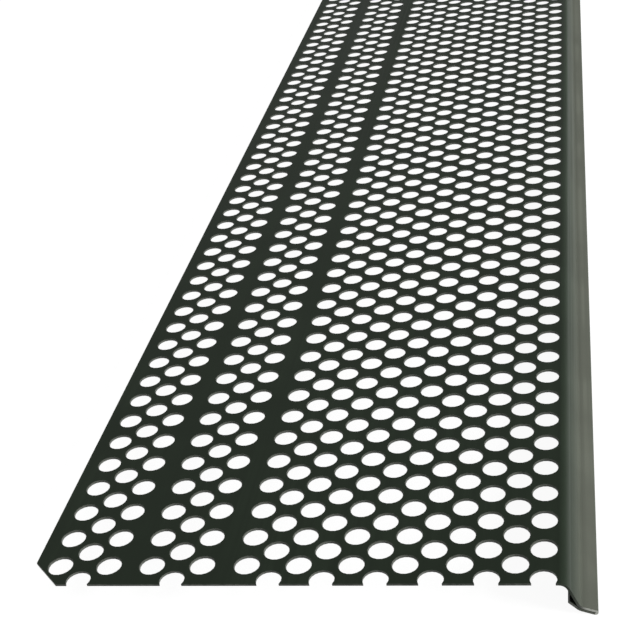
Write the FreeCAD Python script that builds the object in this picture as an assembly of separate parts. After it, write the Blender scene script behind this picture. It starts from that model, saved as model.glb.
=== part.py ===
import FreeCAD, Part
import math
import os

from FreeCAD import Vector

# Gutter guard: one strip of painted perforated sheet, roll-formed along its front edge.
# X runs across the strip from the roof edge to the front lip, Y along the strip, Z up.
# The origin is at the bottom centre of the strip's box.

# Sheet
LENGTH = 914.4
SHEET = 0.6

# Perforation: groups of staggered columns, with a plain band between the groups
HOLE_DIAMETER = 6.35
COLUMN_PITCH = 6.35
ROW_PITCH = 10.16
GROUP_COLUMNS = (3, 3, 12)
BAND_PITCH = 11.1

# Plain edges: from the outer holes' rims to the roof edge and to the front bend,
# and from the near end to the first hole centres, so that the end cuts through that row
ROOF_MARGIN = 3.5
BEND_MARGIN = 0.1
END_INSET = 1.5

# Clipped corner at the near end of the roof edge
CORNER_CLIP = 7.6

# Front lip: the sheet drops, sweeps out to a flange and folds back under it as a closed hem,
# whose tail runs up behind the drop and stands off it a little. Radii are inside radii.
DROP_RADIUS = 2.0
DROP_ANGLE = 68.0
DROP_RUN = 4.9
FLANGE_RADIUS = 1.6
FLANGE_ANGLE = 20.0
FLANGE_RUN = 2.95
HEM_GAP = 0.15
HEM_TAIL = 2.6
HEM_FLARE = 22.0

FULL_FOLD = 180.0
ON_OUTLINE = 1e-6


def column_places():
    """Each column as its distance from the first one, and whether it starts half a row early."""
    places = []
    across = 0.0
    for columns in GROUP_COLUMNS:
        for column in range(columns):
            places.append((across + column * COLUMN_PITCH, column % 2 == 1))
        across += (columns - 1) * COLUMN_PITCH + BAND_PITCH
    return places


def hole_centres(first_column_x):
    """Centres of the holes along the whole strip, up to the last row that reaches it."""
    centres = []
    for across, early in column_places():
        start = END_INSET if early else END_INSET + ROW_PITCH / 2
        rows = math.ceil((LENGTH + HOLE_DIAMETER / 2 - start) / ROW_PITCH)
        for row in range(rows):
            centres.append(Vector(first_column_x + across, start + row * ROW_PITCH, 0))
    return centres


def perforated_panel(bend_x):
    """Flat part of the strip, its top face at zero height, its roof edge and near end at zero."""
    corners = [
        Vector(0, CORNER_CLIP, 0),
        Vector(CORNER_CLIP, 0, 0),
        Vector(bend_x, 0, 0),
        Vector(bend_x, LENGTH, 0),
        Vector(0, LENGTH, 0),
    ]
    outline = Part.makePolygon(corners + corners[:1])
    blank = Part.Face(outline)
    radius = HOLE_DIAMETER / 2
    whole, open_ended = [], []
    for centre in hole_centres(ROOF_MARGIN + radius):
        rim = Part.Wire([Part.makeCircle(radius, centre)])
        if outline.distToShape(Part.Vertex(centre))[0] <= radius:
            open_ended.append(Part.Face(rim))
        elif blank.isInside(centre, ON_OUTLINE, True):
            whole.append(rim)
    sheared = blank.cut(open_ended)
    return Part.Face([sheared.Faces[0].OuterWire] + whole).extrude(Vector(0, 0, -SHEET))


def ahead(heading):
    """Unit vector along a heading in the XZ plane."""
    return Vector(math.cos(heading), 0, math.sin(heading))


def upward(heading):
    """Unit vector square to a heading, on its upper side."""
    return Vector(-math.sin(heading), 0, math.cos(heading))


def run_sides(place, heading, length):
    """Upper and lower side of a straight run of sheet, and the middle of its end."""
    end = place + ahead(heading) * length
    rise = upward(heading) * (SHEET / 2)
    upper = Part.LineSegment(place + rise, end + rise).toShape()
    lower = Part.LineSegment(place - rise, end - rise).toShape()
    return upper, lower, end


def bend_sides(place, heading, inside_radius, turn):
    """Upper and lower side of a bend, upwards where turn is positive, and the middle of its end."""
    side = math.copysign(1.0, turn)
    centre = place + upward(heading) * side * (inside_radius + SHEET / 2)

    def point(radius, share):
        return centre - upward(heading + turn * share) * side * radius

    def arc(radius):
        return Part.Arc(point(radius, 0), point(radius, 0.5), point(radius, 1)).toShape()

    inner = arc(inside_radius)
    outer = arc(inside_radius + SHEET)
    upper, lower = (inner, outer) if side > 0 else (outer, inner)
    return upper, lower, point(inside_radius + SHEET / 2, 1)


def bent_strip(start, steps):
    """Face of a strip that leaves start, on its middle line, along +X and follows the steps.

    A step is a straight run as (length,), or a bend as (inside radius, degrees).
    """
    place, heading = start, 0.0
    sides = []
    for step in steps:
        if len(step) == 1:
            upper, lower, place = run_sides(place, heading, *step)
        else:
            inside_radius, degrees = step
            turn = math.radians(degrees)
            upper, lower, place = bend_sides(place, heading, inside_radius, turn)
            heading += turn
        sides += [upper, lower]
    rise = upward(0.0) * (SHEET / 2)
    root_cut = Part.LineSegment(start + rise, start - rise).toShape()
    rise = upward(heading) * (SHEET / 2)
    tail_cut = Part.LineSegment(place + rise, place - rise).toShape()
    edges = Part.__sortEdges__(sides + [root_cut, tail_cut])
    return Part.Face(Part.Wire(edges))


def lip_section(bend_x):
    """Section of the front lip at the near end, from the flat panel to the end of the hem's tail."""
    sweep = DROP_ANGLE - FLANGE_ANGLE
    steps = [
        (DROP_RADIUS, -DROP_ANGLE),
        (DROP_RUN,),
        (FLANGE_RADIUS, sweep),
        (FLANGE_RUN,),
        (HEM_GAP / 2, -FULL_FOLD),
        (FLANGE_RUN,),
        (FLANGE_RADIUS + SHEET + HEM_GAP, HEM_FLARE - sweep),
        (HEM_TAIL,),
    ]
    return bent_strip(Vector(bend_x, 0, -SHEET / 2), steps)


def gutter_guard():
    """The whole strip, standing on its hem."""
    last_column = column_places()[-1][0]
    bend_x = ROOF_MARGIN + HOLE_DIAMETER + last_column + BEND_MARGIN
    section = lip_section(bend_x)
    lip = section.extrude(Vector(0, LENGTH, 0))
    strip = perforated_panel(bend_x).fuse(lip).removeSplitter()
    reach = section.optimalBoundingBox()
    strip.translate(Vector(-reach.XMax / 2, -LENGTH / 2, -reach.ZMin))
    return strip.Solids[0]


os.makedirs("parts", exist_ok=True)
gutter_guard().exportStep("parts/guard_strip.step")
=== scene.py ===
import math

import bpy
from bpy.props import FloatProperty, FloatVectorProperty, IntProperty, PointerProperty
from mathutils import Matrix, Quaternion, Vector
from mathutils.geometry import delaunay_2d_cdt


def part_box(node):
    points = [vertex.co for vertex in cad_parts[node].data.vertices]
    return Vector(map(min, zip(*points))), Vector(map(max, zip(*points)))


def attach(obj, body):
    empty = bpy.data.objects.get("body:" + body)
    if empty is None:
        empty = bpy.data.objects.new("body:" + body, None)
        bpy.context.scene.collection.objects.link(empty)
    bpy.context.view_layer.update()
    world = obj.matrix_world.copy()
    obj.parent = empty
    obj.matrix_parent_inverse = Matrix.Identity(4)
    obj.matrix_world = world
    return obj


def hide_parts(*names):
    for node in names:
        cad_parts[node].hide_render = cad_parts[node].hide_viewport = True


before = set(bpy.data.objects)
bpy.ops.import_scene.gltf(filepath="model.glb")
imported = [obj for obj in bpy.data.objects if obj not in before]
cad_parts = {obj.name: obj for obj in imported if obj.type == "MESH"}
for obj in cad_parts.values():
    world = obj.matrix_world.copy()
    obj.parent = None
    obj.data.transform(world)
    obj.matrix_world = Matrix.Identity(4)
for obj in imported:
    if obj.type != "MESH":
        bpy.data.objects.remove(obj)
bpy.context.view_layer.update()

bl_info = {
    "name": "Gutter Guard Strip",
    "version": (1, 0, 0),
    "blender": (4, 5, 0),
    "location": "3D View > Sidebar > Gutter Guard",
    "description": "Dresses a perforated gutter guard strip and sets up its studio",
    "category": "Object",
}

STRIP_NODE = "guard_strip"
STRIP_LOW, STRIP_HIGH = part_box(STRIP_NODE)

# Columns of holes in each group, from the roof edge to the front
GROUP_COLUMNS = (3, 3, 12)

# Finishes of the strip, numbered in the order of its materials
PAINT, PUNCHED, CUT_EDGE, BARE_AND_GLINT_END = range(4)

# Directions on the strip
UP, DOWN = (0.0, 0.0, 1.0), (0.0, 0.0, -1.0)
NEARWARD, FARWARD = (0.0, -1.0, 0.0), (0.0, 1.0, 0.0)
ROOFWARD = (-1.0, 0.0, 0.0)
CLIPWARD = (-math.sqrt(0.5), -math.sqrt(0.5), 0.0)

# Turn of the sheet where it folds back under itself
FULL_FOLD = math.pi

# Least sheet between the rim of a hole and the front bend
RIM_CLEARANCE = 0.00002

# The panel is filled in millimetres, and only within its border
MILLIMETRE = 0.001
MERGE_DISTANCE = 1e-5
WITHIN_BORDER = 1

# Nearly all values of a noise texture lie between these two
NOISE_LOW, NOISE_HIGH = 0.3, 0.7
NOISE_DETAIL = 3.0

# Squeezes the noise along the strip, so that its streaks run that way
STREAK_SQUEEZE = (1.0, 0.004, 1.0)

# Share of dullness that is left where the paint's streaks or blotches are faintest
FAINTEST_MARK = 0.2

# What the streaks take from the paint's roughness, and what they add to it
STREAK_SMOOTHER, STREAK_ROUGHER = -0.05, 0.06

# Strength and height of the paint's fine grain
GRAIN_STRENGTH = 0.06
GRAIN_HEIGHT = 0.00004

# Blotches per metre on an edge that was punched or cut, and its least and most roughness
EDGE_BLOTCHES = 700.0
EDGE_SMOOTHEST, EDGE_ROUGHEST = 0.35, 0.6

# Least share of the pale tone in the blotches of the flange's end, metal showing through and painted glint
LEAST_BARE_AND_GLINT = 0.55

FLOOR_ROUGHNESS = 0.9
WHITE = (1.0, 1.0, 1.0, 1.0)

# The camera's sensor in millimetres, and the nearest place that it sees
SENSOR_WIDTH = 36.0
NEAREST_SEEN = 0.01


def length_property(name, description, default):
    return FloatProperty(
        name=name, description=description, default=default, unit="LENGTH", precision=5, min=0.0
    )


def angle_property(name, description, degrees):
    return FloatProperty(
        name=name, description=description, default=math.radians(degrees), subtype="ANGLE"
    )


def colour_property(name, description, default):
    return FloatVectorProperty(
        name=name, description=description, default=default, subtype="COLOR", min=0.0, max=1.0
    )


def share_property(name, description, default):
    return FloatProperty(
        name=name, description=description, default=default, subtype="FACTOR", min=0.0, max=1.0
    )


def place_property(name, description, default):
    return FloatVectorProperty(
        name=name, description=description, default=default, subtype="XYZ", unit="LENGTH", precision=5
    )


def power_property(name, description, default):
    return FloatProperty(name=name, description=description, default=default, unit="POWER", min=0.0)


def strength_property(name, description, default):
    return FloatProperty(name=name, description=description, default=default, min=0.0)


class GuardStripSizes(bpy.types.PropertyGroup):
    """Sizes of the strip's sheet, perforation and front lip"""

    sheet: length_property("Sheet", "Thickness of the sheet", 0.0006)
    hole_diameter: length_property("Hole", "Diameter of a punched hole", 0.00635)
    coat: length_property("Coat", "Thickness of the paint on a hole's wall", 0.0001)
    rim_width: length_property("Rim width", "Width of the round that the punch leaves on a rim", 0.0001)
    rim_depth: length_property("Rim depth", "Depth of the round that the punch leaves on a rim", 0.0003)
    rim_corners: IntProperty(name="Rim corners", description="Corners of a hole's rim", default=18, min=6)
    column_pitch: length_property("Column pitch", "Distance between columns of holes", 0.00635)
    row_pitch: length_property("Row pitch", "Distance between holes of one column", 0.01016)
    band_pitch: length_property("Band pitch", "Distance between the columns beside a plain band", 0.0111)
    roof_margin: length_property("Roof margin", "Plain sheet from the first holes to the roof edge", 0.0035)
    bend_margin: length_property("Bend margin", "Plain sheet from the last holes to the front bend", 0.0001)
    end_inset: length_property("End inset", "First hole centres, measured from the near end", 0.0015)
    corner_clip: length_property("Corner clip", "Legs of the clipped corner", 0.0076)
    drop_radius: length_property("Drop radius", "Inside radius of the bend that turns down", 0.002)
    drop_angle: angle_property("Drop angle", "Slope of the drop below the panel", 68.0)
    drop_run: length_property("Drop run", "Straight length of the drop", 0.0049)
    flange_radius: length_property("Flange radius", "Inside radius between drop and flange", 0.0016)
    flange_angle: angle_property("Flange angle", "Slope of the flange", 20.0)
    flange_run: length_property("Flange run", "Straight length of the flange", 0.00295)
    hem_gap: length_property("Hem gap", "Gap between the flange and the sheet folded under it", 0.00015)
    hem_tail: length_property("Hem tail", "Straight end of the hem behind the drop", 0.0026)
    hem_flare: angle_property("Hem flare", "Angle by which the hem's tail stands off the drop", 22.0)
    bend_step: angle_property("Bend step", "Turn of a bend from one station to the next", 5.0)


class GuardStripFinish(bpy.types.PropertyGroup):
    """Colours and gloss of the painted sheet and of its cut edges"""

    paint: colour_property("Paint", "Satin paint of the sheet", (0.0093, 0.0137, 0.0088))
    roughness: share_property("Roughness", "Mean roughness of the paint", 0.36)
    # Painted light: the front lip's paler colour stands in for the light that brightens the lip
    lip: colour_property("Lip", "Rubbed paint of the front lip", (0.0544, 0.0582, 0.0475))
    lip_roughness: share_property("Lip roughness", "Mean roughness of the front lip", 0.55)
    dull_start: length_property("Dull start", "Where the paint starts to dull, from the front edge", 0.0084)
    dull_full: length_property("Dull full", "Where the paint is fully dull, from the front edge", 0.0064)
    # Where the painted light on the lip starts and where it is full, from the front edge
    painted_light_start: length_property("Rub start", "Where the rubbed look starts, from the front edge", 0.0062)
    painted_light_full: length_property("Rub full", "Where the rubbed look is full, from the front edge", 0.0022)
    # The fold along the front edge keeps only part of the lip's painted light
    fold_width: length_property("Fold width", "Width of the fold along the front edge", 0.0006)
    fold_painted_light: share_property("Fold rub", "Share of the rubbing that is left on the fold", 0.55)
    dust: share_property("Dust", "Share by which the dull streaks are paler than the rest", 0.3)
    gloss: share_property("Gloss", "Strength of the light that the paint mirrors", 0.25)
    sheen: colour_property("Sheen", "Tint of the light that the paint mirrors", (0.92, 1.0, 0.86))
    wall: colour_property("Hole wall", "Wall of a hole where paint covers it", (0.037, 0.04, 0.034))
    wall_worn: colour_property("Worn wall", "Wall of a hole where metal shows", (0.055, 0.059, 0.051))
    edge: colour_property("Cut edge", "Sheared edge where paint covers it", (0.012, 0.016, 0.011))
    edge_worn: colour_property("Worn edge", "Sheared edge where metal shows", (0.045, 0.048, 0.04))
    # Painted highlight: the flange's pale cut end is partly metal showing through and partly a painted
    # glint of light catching that end
    bare_and_glint: colour_property("Bare end", "Cut end of the flange where metal shows", (0.4, 0.41, 0.37))
    bare_and_glint_start: length_property("Bare start", "Where the metal starts to show, from the front edge", 0.0042)
    bare_and_glint_full: length_property("Bare full", "Where the metal shows all over, from the front edge", 0.0016)


class GuardStage(bpy.types.PropertyGroup):
    """Camera, floor and lights"""

    eye: place_property("Eye", "Place of the camera", (0.07182, -0.6744, 0.21022))
    aim: place_property("Aim", "Point that the camera looks at", (-0.01412, -0.33867, 0.00939))
    roll: angle_property("Roll", "Turn of the camera about its own view", 9.98)
    lens: FloatProperty(name="Lens", description="Focal length of the camera", default=72.38, unit="CAMERA")
    floor: colour_property("Floor", "Colour of the floor in the room's light", (0.12, 0.12, 0.12))
    floor_glow: strength_property("Floor glow", "Light that the floor gives by itself", 0.93)
    floor_reach: length_property("Floor reach", "Distance from the strip to the floor's edges", 60.0)
    key_place: place_property("Key light", "Place of the soft light beside the front lip", (2.2, -0.6, 0.9))
    key_width: length_property("Key width", "Width of the light beside the front lip", 1.6)
    key_height: length_property("Key height", "Height of the light beside the front lip", 1.0)
    key_power: power_property("Key power", "Power of the light beside the front lip", 160.0)
    top_place: place_property("Top light", "Place of the soft light overhead", (-0.4, -0.6, 1.6))
    top_side: length_property("Top side", "Sides of the light overhead", 1.5)
    top_power: power_property("Top power", "Power of the light overhead", 6.0)
    surround: strength_property("Surround", "Light that the room gives the strip", 0.22)
    backdrop: strength_property("Backdrop", "Brightness of the room behind the floor", 1.0)


class MeshDraft:
    """Places, faces, corner normals and finishes of a mesh that is being put together."""

    def __init__(self):
        self.places = []
        self.faces = []
        self.normals = []
        self.finishes = []

    def point(self, x, y, z):
        """Adds one place and returns its number."""
        self.places.append((x, y, z))
        return len(self.places) - 1

    def face(self, corners, normals, finish):
        """Adds one face, with a shading normal for each corner."""
        self.faces.append(corners)
        self.normals.extend(normals)
        self.finishes.append(finish)

    def flat_face(self, corners, normal, finish):
        self.face(corners, [normal] * len(corners), finish)

    def wall(self, lower, upper, lower_normals, upper_normals, finish):
        """Faces between two rows of places, each going the same way with the outside on the right."""
        for i in range(len(lower) - 1):
            corners = (lower[i], lower[i + 1], upper[i + 1], upper[i])
            normals = (lower_normals[i], lower_normals[i + 1], upper_normals[i + 1], upper_normals[i])
            self.face(corners, normals, finish)

    def build(self, name, materials):
        """The finished object, in the scene's collection."""
        mesh = bpy.data.meshes.new(name)
        mesh.from_pydata(self.places, [], self.faces)
        for material in materials:
            mesh.materials.append(material)
        mesh.polygons.foreach_set("material_index", self.finishes)
        mesh.shade_smooth()
        mesh.normals_split_custom_set(self.normals)
        if mesh.validate():
            raise RuntimeError(f"{name}: the mesh has faces that can't be drawn")
        piece = bpy.data.objects.new(name, mesh)
        bpy.context.scene.collection.objects.link(piece)
        return piece


def column_places(sizes):
    """Each column's place across the strip, and whether its holes start half a row early."""
    x = STRIP_LOW.x + sizes.roof_margin + sizes.hole_diameter / 2
    places = []
    for columns in GROUP_COLUMNS:
        for column in range(columns):
            places.append((x + column * sizes.column_pitch, column % 2 == 1))
        x += (columns - 1) * sizes.column_pitch + sizes.band_pitch
    return places


def sort_holes(sizes):
    """Centres of the holes: those that an end of the strip cuts open, near and far, and the whole ones."""
    radius = sizes.hole_diameter / 2
    near, far, whole = [], [], []
    for x, early in column_places(sizes):
        y = STRIP_LOW.y + sizes.end_inset + (0.0 if early else sizes.row_pitch / 2)
        while y < STRIP_HIGH.y + radius:
            if y < STRIP_LOW.y + radius:
                near.append((x, y))
            elif y > STRIP_HIGH.y - radius:
                far.append((x, y))
            else:
                whole.append((x, y))
            y += sizes.row_pitch
    return near, far, whole


class Stretch:
    """A stretch of the panel's outline: its places, their wall normals and the wall's finish."""

    def __init__(self, places, normals, finish):
        self.places = places
        self.normals = normals
        self.finish = finish


def sheared_stretch(start, end, normal):
    """A straight stretch that the shear cut."""
    return Stretch([start, end], [normal, normal], CUT_EDGE)


def bite_stretch(centre, radius, inside, facing, corners):
    """The rim of a hole that an end cuts open, from its first corner on that end to its last.

    inside is how far the centre lies in from the end, and facing the direction into the strip.
    """
    sweep = math.pi + 2 * math.asin(inside / radius)
    steps = max(2, round(corners * sweep / (2 * math.pi)))
    angles = [facing + sweep * (0.5 - step / steps) for step in range(steps + 1)]
    places = [(centre[0] + radius * math.cos(a), centre[1] + radius * math.sin(a)) for a in angles]
    normals = [(-math.cos(a), -math.sin(a), 0.0) for a in angles]
    return Stretch(places, normals, PUNCHED)


def end_stretches(start, end, bites, normal):
    """One end of the panel from start to end, with the holes that it cuts open."""
    stretches = []
    place = start
    for bite in bites:
        stretches.append(sheared_stretch(place, bite.places[0], normal))
        stretches.append(bite)
        place = bite.places[-1]
    stretches.append(sheared_stretch(place, end, normal))
    return stretches


def panel_outline(sizes, near, far, bend_x):
    """The panel's outline, anticlockwise from the bend's near end.

    Its first stretch, the bend, has no wall.
    """
    radius = sizes.hole_diameter / 2 - sizes.coat
    low, high, clip = STRIP_LOW, STRIP_HIGH, sizes.corner_clip
    corners = sizes.rim_corners
    near_bites = [bite_stretch(c, radius, c[1] - low.y, math.pi / 2, corners) for c in near]
    far_bites = [bite_stretch(c, radius, high.y - c[1], -math.pi / 2, corners) for c in reversed(far)]
    bend_near, bend_far = (bend_x, low.y), (bend_x, high.y)
    roof_far = (low.x, high.y)
    clip_roof, clip_end = (low.x, low.y + clip), (low.x + clip, low.y)
    return (
        [Stretch([bend_near, bend_far], None, None)]
        + end_stretches(bend_far, roof_far, far_bites, FARWARD)
        + [sheared_stretch(roof_far, clip_roof, ROOFWARD), sheared_stretch(clip_roof, clip_end, CLIPWARD)]
        + end_stretches(clip_end, bend_near, near_bites, NEARWARD)
    )


def fill_panel(draft, border, rims):
    """Triangles of the panel's top as numbers of places, with the holes inside the rims left open."""
    numbers, edges, rim_of = [], [], []
    for rim_number, loop in enumerate([border] + rims):
        start, count = len(numbers), len(loop)
        numbers += loop
        rim_of += [rim_number] * count
        edges += [(start + i, start + (i + 1) % count) for i in range(count)]
    flat = [Vector(draft.places[number][:2]) / MILLIMETRE for number in numbers]
    _, _, triangles, origins, _, _ = delaunay_2d_cdt(flat, edges, [], WITHIN_BORDER, MERGE_DISTANCE)
    if any(len(origin) != 1 for origin in origins):
        raise RuntimeError("rims of the perforation touch each other or the panel's edge")
    filled = []
    for triangle in triangles:
        corners = [origins[corner][0] for corner in triangle]
        touched = {rim_of[corner] for corner in corners}
        in_hole = len(touched) == 1 and 0 not in touched
        if not in_hole:
            filled.append([numbers[corner] for corner in corners])
    return filled


def add_panel(draft, sizes, bend_x):
    """Adds the flat perforated panel.

    Returns the numbers of the bend's places: near and far on top, then near and far below.
    """
    near, far, whole = sort_holes(sizes)
    top, bottom = STRIP_HIGH.z, STRIP_HIGH.z - sizes.sheet
    below = {}

    def pair(place):
        upper = draft.point(*place, top)
        below[upper] = draft.point(*place, bottom)
        return upper

    outline = panel_outline(sizes, near, far, bend_x)
    rows = [[pair(place) for place in stretch.places[:-1]] for stretch in outline]
    border = [number for row in rows for number in row]
    for i, stretch in enumerate(outline[1:], 1):
        row = rows[i] + rows[(i + 1) % len(rows)][:1]
        draft.wall([below[n] for n in row], row, stretch.normals, stretch.normals, stretch.finish)

    radius = sizes.hole_diameter / 2 - sizes.coat
    mouth = sizes.hole_diameter / 2 + sizes.rim_width
    rim_limit = bend_x - RIM_CLEARANCE
    turns = [-2 * math.pi * i / sizes.rim_corners for i in range(sizes.rim_corners)]
    outs = [(math.cos(turn), math.sin(turn)) for turn in turns]
    inward = [(-x, -y, 0.0) for x, y in outs]
    inward.append(inward[0])
    ups = [UP] * len(inward)
    rims = []
    for x, y in whole:
        rim, neck, foot = [], [], []
        for across, along in outs:
            rim.append(draft.point(min(x + mouth * across, rim_limit), y + mouth * along, top))
            neck.append(draft.point(x + radius * across, y + radius * along, top - sizes.rim_depth))
            foot.append(draft.point(x + radius * across, y + radius * along, bottom))
        below.update(zip(rim, foot))
        rims.append(rim)
        draft.wall(neck + neck[:1], rim + rim[:1], inward, ups, PUNCHED)
        draft.wall(foot + foot[:1], neck + neck[:1], inward, inward, PUNCHED)
    for triangle in fill_panel(draft, border, rims):
        draft.flat_face(triangle, UP, PAINT)
        draft.flat_face([below[n] for n in reversed(triangle)], DOWN, PAINT)
    bend_near, bend_far = rows[0][0], rows[1][0]
    return bend_near, bend_far, below[bend_near], below[bend_far]


def lip_steps(sizes):
    """The lip as straight runs, (length, no turn), and bends, (inside radius, turn).

    Each also has the finish of its cut ends, which on the hem's tail is as pale as a punched wall.
    """
    sweep = sizes.drop_angle - sizes.flange_angle
    return [
        (sizes.drop_radius, -sizes.drop_angle, PAINT),
        (sizes.drop_run, 0.0, PAINT),
        (sizes.flange_radius, sweep, BARE_AND_GLINT_END),
        (sizes.flange_run, 0.0, BARE_AND_GLINT_END),
        (sizes.hem_gap / 2, -FULL_FOLD, BARE_AND_GLINT_END),
        (sizes.flange_run, 0.0, PAINT),
        (sizes.flange_radius + sizes.sheet + sizes.hem_gap, sizes.hem_flare - sweep, PAINT),
        (sizes.hem_tail, 0.0, PUNCHED),
    ]


def lip_stations(sizes, bend_x):
    """Places along the middle of the lip's sheet, each with the sheet's heading there.

    Returned with them are the finishes of the cut ends, one for each step between two places.
    """
    x, z, heading = bend_x, STRIP_HIGH.z - sizes.sheet / 2, 0.0
    stations, end_finishes = [(x, z, heading)], []
    for size, turn, end_finish in lip_steps(sizes):
        if turn == 0.0:
            x += size * math.cos(heading)
            z += size * math.sin(heading)
            stations.append((x, z, heading))
            end_finishes.append(end_finish)
            continue
        reach = math.copysign(size + sizes.sheet / 2, turn)
        centre_x = x - reach * math.sin(heading)
        centre_z = z + reach * math.cos(heading)
        steps = max(2, math.ceil(abs(turn) / sizes.bend_step))
        for _ in range(steps):
            heading += turn / steps
            x = centre_x + reach * math.sin(heading)
            z = centre_z - reach * math.cos(heading)
            stations.append((x, z, heading))
        end_finishes += [end_finish] * steps
    return stations, end_finishes


def add_lip(draft, sizes, bend_x, panel_end):
    """Adds the front lip, from the panel's bend to the end of the hem's tail."""
    stations, end_finishes = lip_stations(sizes, bend_x)
    half = sizes.sheet / 2
    bend_near, bend_far, under_near, under_far = panel_end
    upper_near, upper_far, lower_near, lower_far = [bend_near], [bend_far], [under_near], [under_far]
    for x, z, heading in stations[1:]:
        rise_x, rise_z = -math.sin(heading) * half, math.cos(heading) * half
        upper_near.append(draft.point(x + rise_x, STRIP_LOW.y, z + rise_z))
        upper_far.append(draft.point(x + rise_x, STRIP_HIGH.y, z + rise_z))
        lower_near.append(draft.point(x - rise_x, STRIP_LOW.y, z - rise_z))
        lower_far.append(draft.point(x - rise_x, STRIP_HIGH.y, z - rise_z))
    over = [(-math.sin(heading), 0.0, math.cos(heading)) for _, _, heading in stations]
    under = [(-x, -y, -z) for x, y, z in over]
    draft.wall(upper_near, upper_far, over, over, PAINT)
    draft.wall(lower_far, lower_near, under, under, PAINT)
    for i, finish in enumerate(end_finishes):
        near_end = (lower_near[i], lower_near[i + 1], upper_near[i + 1], upper_near[i])
        far_end = (upper_far[i], upper_far[i + 1], lower_far[i + 1], lower_far[i])
        draft.flat_face(near_end, NEARWARD, finish)
        draft.flat_face(far_end, FARWARD, finish)
    end = stations[-1][2]
    tail = (lower_near[-1], lower_far[-1], upper_far[-1], upper_near[-1])
    draft.flat_face(tail, (math.cos(end), 0.0, math.sin(end)), CUT_EDGE)


def new_group(name, inputs, outputs):
    """An empty shader node group with named sockets, its tree and its two end nodes."""
    tree = bpy.data.node_groups.new(name, "ShaderNodeTree")
    for kind, label, default in inputs:
        socket = tree.interface.new_socket(label, in_out="INPUT", socket_type=kind)
        socket.default_value = default
    for kind, label in outputs:
        tree.interface.new_socket(label, in_out="OUTPUT", socket_type=kind)
    return tree, tree.nodes.new("NodeGroupInput"), tree.nodes.new("NodeGroupOutput")


def add_node(tree, kind, **values):
    """A node with its settings, by attribute name."""
    node = tree.nodes.new(kind)
    for name, value in values.items():
        setattr(node, name, value)
    return node


def rolled_sheet_group():
    """Marks of the rolling mill and the paint line: long streaks, soft blotches and fine grain.

    Streaks run along the strip. Each output lies between 0 and 1.
    """
    tree, start, end = new_group(
        "Rolled sheet marks",
        [
            ("NodeSocketFloat", "Streaks per metre", 900.0),
            ("NodeSocketFloat", "Blotches per metre", 40.0),
            ("NodeSocketFloat", "Grain per metre", 2600.0),
        ],
        [("NodeSocketFloat", "Streak"), ("NodeSocketFloat", "Blotch"), ("NodeSocketFloat", "Grain")],
    )
    coordinates = add_node(tree, "ShaderNodeTexCoord")
    squeeze = add_node(tree, "ShaderNodeVectorMath", operation="MULTIPLY")
    squeeze.inputs[1].default_value = STREAK_SQUEEZE
    tree.links.new(coordinates.outputs["Object"], squeeze.inputs[0])
    for label, source, socket in (
        ("Streak", squeeze.outputs[0], "Streaks per metre"),
        ("Blotch", coordinates.outputs["Object"], "Blotches per metre"),
        ("Grain", coordinates.outputs["Object"], "Grain per metre"),
    ):
        noise = add_node(tree, "ShaderNodeTexNoise", noise_dimensions="3D")
        noise.inputs["Detail"].default_value = NOISE_DETAIL
        tree.links.new(source, noise.inputs["Vector"])
        tree.links.new(start.outputs[socket], noise.inputs["Scale"])
        tree.links.new(noise.outputs["Fac"], end.inputs[label])
    return tree


def new_material(name):
    """A material with its tree and its Principled BSDF."""
    material = bpy.data.materials.new(name)
    material.use_nodes = True
    tree = material.node_tree
    return material, tree, tree.nodes["Principled BSDF"]


def graded(tree, value, start, end, low, high):
    """A value carried smoothly from low, at start, to high, at end."""
    node = add_node(tree, "ShaderNodeMapRange", interpolation_type="SMOOTHSTEP")
    for name, setting in (("From Min", start), ("From Max", end), ("To Min", low), ("To Max", high)):
        node.inputs[name].default_value = setting
    tree.links.new(value, node.inputs["Value"])
    return node.outputs["Result"]


def noise_graded(tree, noise, low, high):
    """A noise value spread over the whole range from low to high."""
    return graded(tree, noise, NOISE_LOW, NOISE_HIGH, low, high)


def computed(tree, operation, first, second):
    """The sum or product of two values."""
    node = add_node(tree, "ShaderNodeMath", operation=operation)
    tree.links.new(first, node.inputs[0])
    tree.links.new(second, node.inputs[1])
    return node.outputs[0]


def mixed_colour(tree, share, first, second):
    """Colour that goes from first to second with share."""
    node = add_node(tree, "ShaderNodeMix", data_type="RGBA")
    node.inputs["A"].default_value = (*first, 1.0)
    node.inputs["B"].default_value = (*second, 1.0)
    tree.links.new(share, node.inputs["Factor"])
    return node.outputs["Result"]


def place_across(tree):
    """Place across the strip, from its middle."""
    place = add_node(tree, "ShaderNodeSeparateXYZ")
    tree.links.new(add_node(tree, "ShaderNodeTexCoord").outputs["Object"], place.inputs[0])
    return place.outputs["X"]


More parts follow.
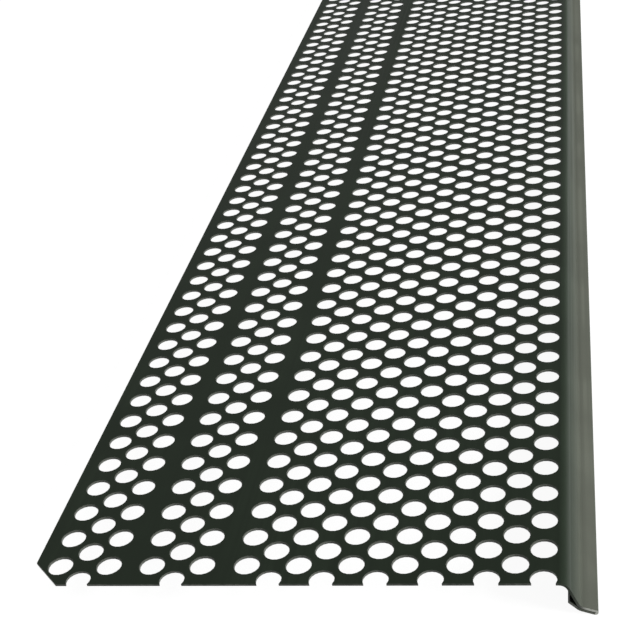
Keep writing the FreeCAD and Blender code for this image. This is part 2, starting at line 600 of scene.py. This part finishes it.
def satin_paint(finish, marks):
    """Satin paint with faint streaks along the strip, duller towards the front edge, and paler there as
    painted light on the lip.
    """
    material, tree, shader = new_material("satin_paint")
    group = add_node(tree, "ShaderNodeGroup", node_tree=marks)
    across = place_across(tree)
    # Painted light: the colour goes from the paint to the paler lip colour towards the front edge, less on
    # the fold
    start, end = STRIP_HIGH.x - finish.painted_light_start, STRIP_HIGH.x - finish.painted_light_full
    painted_light = graded(tree, across, start, end, 0.0, 1.0)
    fold = graded(tree, across, STRIP_HIGH.x - finish.fold_width, STRIP_HIGH.x, 1.0, finish.fold_painted_light)
    colour = mixed_colour(tree, computed(tree, "MULTIPLY", painted_light, fold), finish.paint, finish.lip)
    streaks = noise_graded(tree, group.outputs["Streak"], FAINTEST_MARK, 1.0)
    blotches = noise_graded(tree, group.outputs["Blotch"], FAINTEST_MARK, 1.0)
    dull = computed(tree, "MULTIPLY", streaks, blotches)
    dusted = add_node(tree, "ShaderNodeVectorMath", operation="SCALE")
    tree.links.new(colour, dusted.inputs[0])
    tree.links.new(graded(tree, dull, 0.0, 1.0, 1.0, 1.0 + finish.dust), dusted.inputs["Scale"])
    tree.links.new(dusted.outputs[0], shader.inputs["Base Color"])
    start, end = STRIP_HIGH.x - finish.dull_start, STRIP_HIGH.x - finish.dull_full
    mean = graded(tree, across, start, end, finish.roughness, finish.lip_roughness)
    unevenness = noise_graded(tree, group.outputs["Streak"], STREAK_SMOOTHER, STREAK_ROUGHER)
    tree.links.new(computed(tree, "ADD", mean, unevenness), shader.inputs["Roughness"])
    shader.inputs["Specular IOR Level"].default_value = finish.gloss
    shader.inputs["Specular Tint"].default_value = (*finish.sheen, 1.0)
    bump = add_node(tree, "ShaderNodeBump")
    bump.inputs["Strength"].default_value = GRAIN_STRENGTH
    bump.inputs["Distance"].default_value = GRAIN_HEIGHT
    tree.links.new(group.outputs["Grain"], bump.inputs["Height"])
    tree.links.new(bump.outputs["Normal"], shader.inputs["Normal"])
    return material


def rough_edge(name, finish, marks):
    """Material of an edge that was punched or cut, with its tree, its shader and its blotches."""
    material, tree, shader = new_material(name)
    group = add_node(tree, "ShaderNodeGroup", node_tree=marks)
    group.inputs["Blotches per metre"].default_value = EDGE_BLOTCHES
    roughness = noise_graded(tree, group.outputs["Grain"], EDGE_SMOOTHEST, EDGE_ROUGHEST)
    tree.links.new(roughness, shader.inputs["Roughness"])
    shader.inputs["Specular IOR Level"].default_value = finish.gloss
    return material, tree, shader, group.outputs["Blotch"]


def torn_edge(name, finish, marks, painted, worn):
    """Uneven edge that a punch or a shear left, blotched where metal shows through its paint."""
    material, tree, shader, blotch = rough_edge(name, finish, marks)
    share = noise_graded(tree, blotch, 0.0, 1.0)
    tree.links.new(mixed_colour(tree, share, painted, worn), shader.inputs["Base Color"])
    return material


def bare_and_glint_end(finish, marks):
    """Cut end of the flange: uneven uncovered metal with a painted glint on it, fading into paint towards
    the drop.
    """
    material, tree, shader, blotch = rough_edge("bare_and_glint_end", finish, marks)
    start, end = STRIP_HIGH.x - finish.bare_and_glint_start, STRIP_HIGH.x - finish.bare_and_glint_full
    # Painted glint: the cut end grows paler towards the front edge
    bared_and_glinting = graded(tree, place_across(tree), start, end, 0.0, 1.0)
    share = computed(tree, "MULTIPLY", bared_and_glinting, noise_graded(tree, blotch, LEAST_BARE_AND_GLINT, 1.0))
    tree.links.new(mixed_colour(tree, share, finish.wall, finish.bare_and_glint), shader.inputs["Base Color"])
    return material


class GUARD_OT_make_strip(bpy.types.Operator):
    """Make the perforated strip with its hemmed lip, in place of the plain solid"""

    bl_idname = "gutter_guard.make_strip"
    bl_label = "Make Strip"

    def execute(self, context):
        sizes = context.scene.guard_strip_sizes
        finish = context.scene.guard_strip_finish
        marks = rolled_sheet_group()
        bend_x = column_places(sizes)[-1][0] + sizes.hole_diameter / 2 + sizes.bend_margin
        draft = MeshDraft()
        panel_end = add_panel(draft, sizes, bend_x)
        add_lip(draft, sizes, bend_x, panel_end)
        materials = [
            satin_paint(finish, marks),
            torn_edge("punched_wall", finish, marks, finish.wall, finish.wall_worn),
            torn_edge("cut_edge", finish, marks, finish.edge, finish.edge_worn),
            bare_and_glint_end(finish, marks),
        ]
        strip = draft.build("perforated_strip", materials)
        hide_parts(STRIP_NODE)
        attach(strip, "root")
        return {"FINISHED"}


def add_floor(stage):
    """Pale floor under the strip, bright enough to show white through its holes."""
    reach = stage.floor_reach
    mesh = bpy.data.meshes.new("floor")
    corners = [(-reach, -reach, 0.0), (reach, -reach, 0.0), (reach, reach, 0.0), (-reach, reach, 0.0)]
    mesh.from_pydata(corners, [], [(0, 1, 2, 3)])
    material, _, shader = new_material("pale_floor")
    shader.inputs["Base Color"].default_value = (*stage.floor, 1.0)
    shader.inputs["Roughness"].default_value = FLOOR_ROUGHNESS
    shader.inputs["Emission Color"].default_value = WHITE
    shader.inputs["Emission Strength"].default_value = stage.floor_glow
    mesh.materials.append(material)
    floor = bpy.data.objects.new("floor", mesh)
    bpy.context.scene.collection.objects.link(floor)


def add_softbox(name, place, width, height, power):
    """A soft area light that faces the strip's middle and is seen neither directly nor in gloss."""
    light = bpy.data.lights.new(name, "AREA")
    light.shape = "RECTANGLE"
    light.size, light.size_y = width, height
    light.energy = power
    box = bpy.data.objects.new(name, light)
    box.visible_camera = False
    box.visible_glossy = False
    box.location = place
    box.rotation_euler = (-Vector(place)).to_track_quat("-Z", "Y").to_euler()
    bpy.context.scene.collection.objects.link(box)


def add_room(stage):
    """Even light from all around, seen by the camera as a white backdrop."""
    world = bpy.data.worlds.new("soft_room")
    world.use_nodes = True
    tree = world.node_tree
    room = tree.nodes["Background"]
    backdrop = add_node(tree, "ShaderNodeBackground")
    for node, strength in ((room, stage.surround), (backdrop, stage.backdrop)):
        node.inputs["Color"].default_value = WHITE
        node.inputs["Strength"].default_value = strength
    seen = add_node(tree, "ShaderNodeMixShader")
    tree.links.new(add_node(tree, "ShaderNodeLightPath").outputs["Is Camera Ray"], seen.inputs[0])
    tree.links.new(room.outputs[0], seen.inputs[1])
    tree.links.new(backdrop.outputs[0], seen.inputs[2])
    tree.links.new(seen.outputs[0], tree.nodes["World Output"].inputs["Surface"])
    bpy.context.scene.world = world


def add_camera(stage):
    """The camera at the photograph's view."""
    view = Vector(stage.aim) - Vector(stage.eye)
    camera = bpy.data.cameras.new("camera")
    camera.lens = stage.lens
    camera.sensor_width = SENSOR_WIDTH
    camera.clip_start = NEAREST_SEEN
    eye = bpy.data.objects.new("camera", camera)
    eye.location = stage.eye
    eye.rotation_mode = "QUATERNION"
    eye.rotation_quaternion = Quaternion(view, stage.roll) @ view.to_track_quat("-Z", "Y")
    bpy.context.scene.collection.objects.link(eye)
    bpy.context.scene.camera = eye


class GUARD_OT_set_stage(bpy.types.Operator):
    """Set up the floor, the lights and the camera"""

    bl_idname = "gutter_guard.set_stage"
    bl_label = "Set Stage"

    def execute(self, context):
        stage = context.scene.guard_stage
        add_floor(stage)
        add_softbox("key_softbox", stage.key_place, stage.key_width, stage.key_height, stage.key_power)
        add_softbox("top_softbox", stage.top_place, stage.top_side, stage.top_side, stage.top_power)
        add_room(stage)
        context.scene.view_settings.view_transform = "Standard"
        add_camera(stage)
        return {"FINISHED"}


class GUARD_PT_sidebar(bpy.types.Panel):
    """Lists the strip's and the stage's operators with their settings"""

    bl_idname = "GUARD_PT_sidebar"
    bl_label = "Gutter Guard"
    bl_space_type = "VIEW_3D"
    bl_region_type = "UI"
    bl_category = "Gutter Guard"

    def draw(self, context):
        for operator, groups in (
            (GUARD_OT_make_strip, ("guard_strip_sizes", "guard_strip_finish")),
            (GUARD_OT_set_stage, ("guard_stage",)),
        ):
            self.layout.operator(operator.bl_idname)
            for name in groups:
                group = getattr(context.scene, name)
                for setting in group.__annotations__:
                    self.layout.prop(group, setting)


CLASSES = (
    GuardStripSizes,
    GuardStripFinish,
    GuardStage,
    GUARD_OT_make_strip,
    GUARD_OT_set_stage,
    GUARD_PT_sidebar,
)
SETTINGS = {
    "guard_strip_sizes": GuardStripSizes,
    "guard_strip_finish": GuardStripFinish,
    "guard_stage": GuardStage,
}


def register():
    for cls in CLASSES:
        bpy.utils.register_class(cls)
    for name, group in SETTINGS.items():
        setattr(bpy.types.Scene, name, PointerProperty(type=group))


def unregister():
    for name in SETTINGS:
        delattr(bpy.types.Scene, name)
    for cls in reversed(CLASSES):
        bpy.utils.unregister_class(cls)


def main():
    register()
    bpy.ops.gutter_guard.make_strip()
    bpy.ops.gutter_guard.set_stage()


if __name__ == "__main__":
    main()
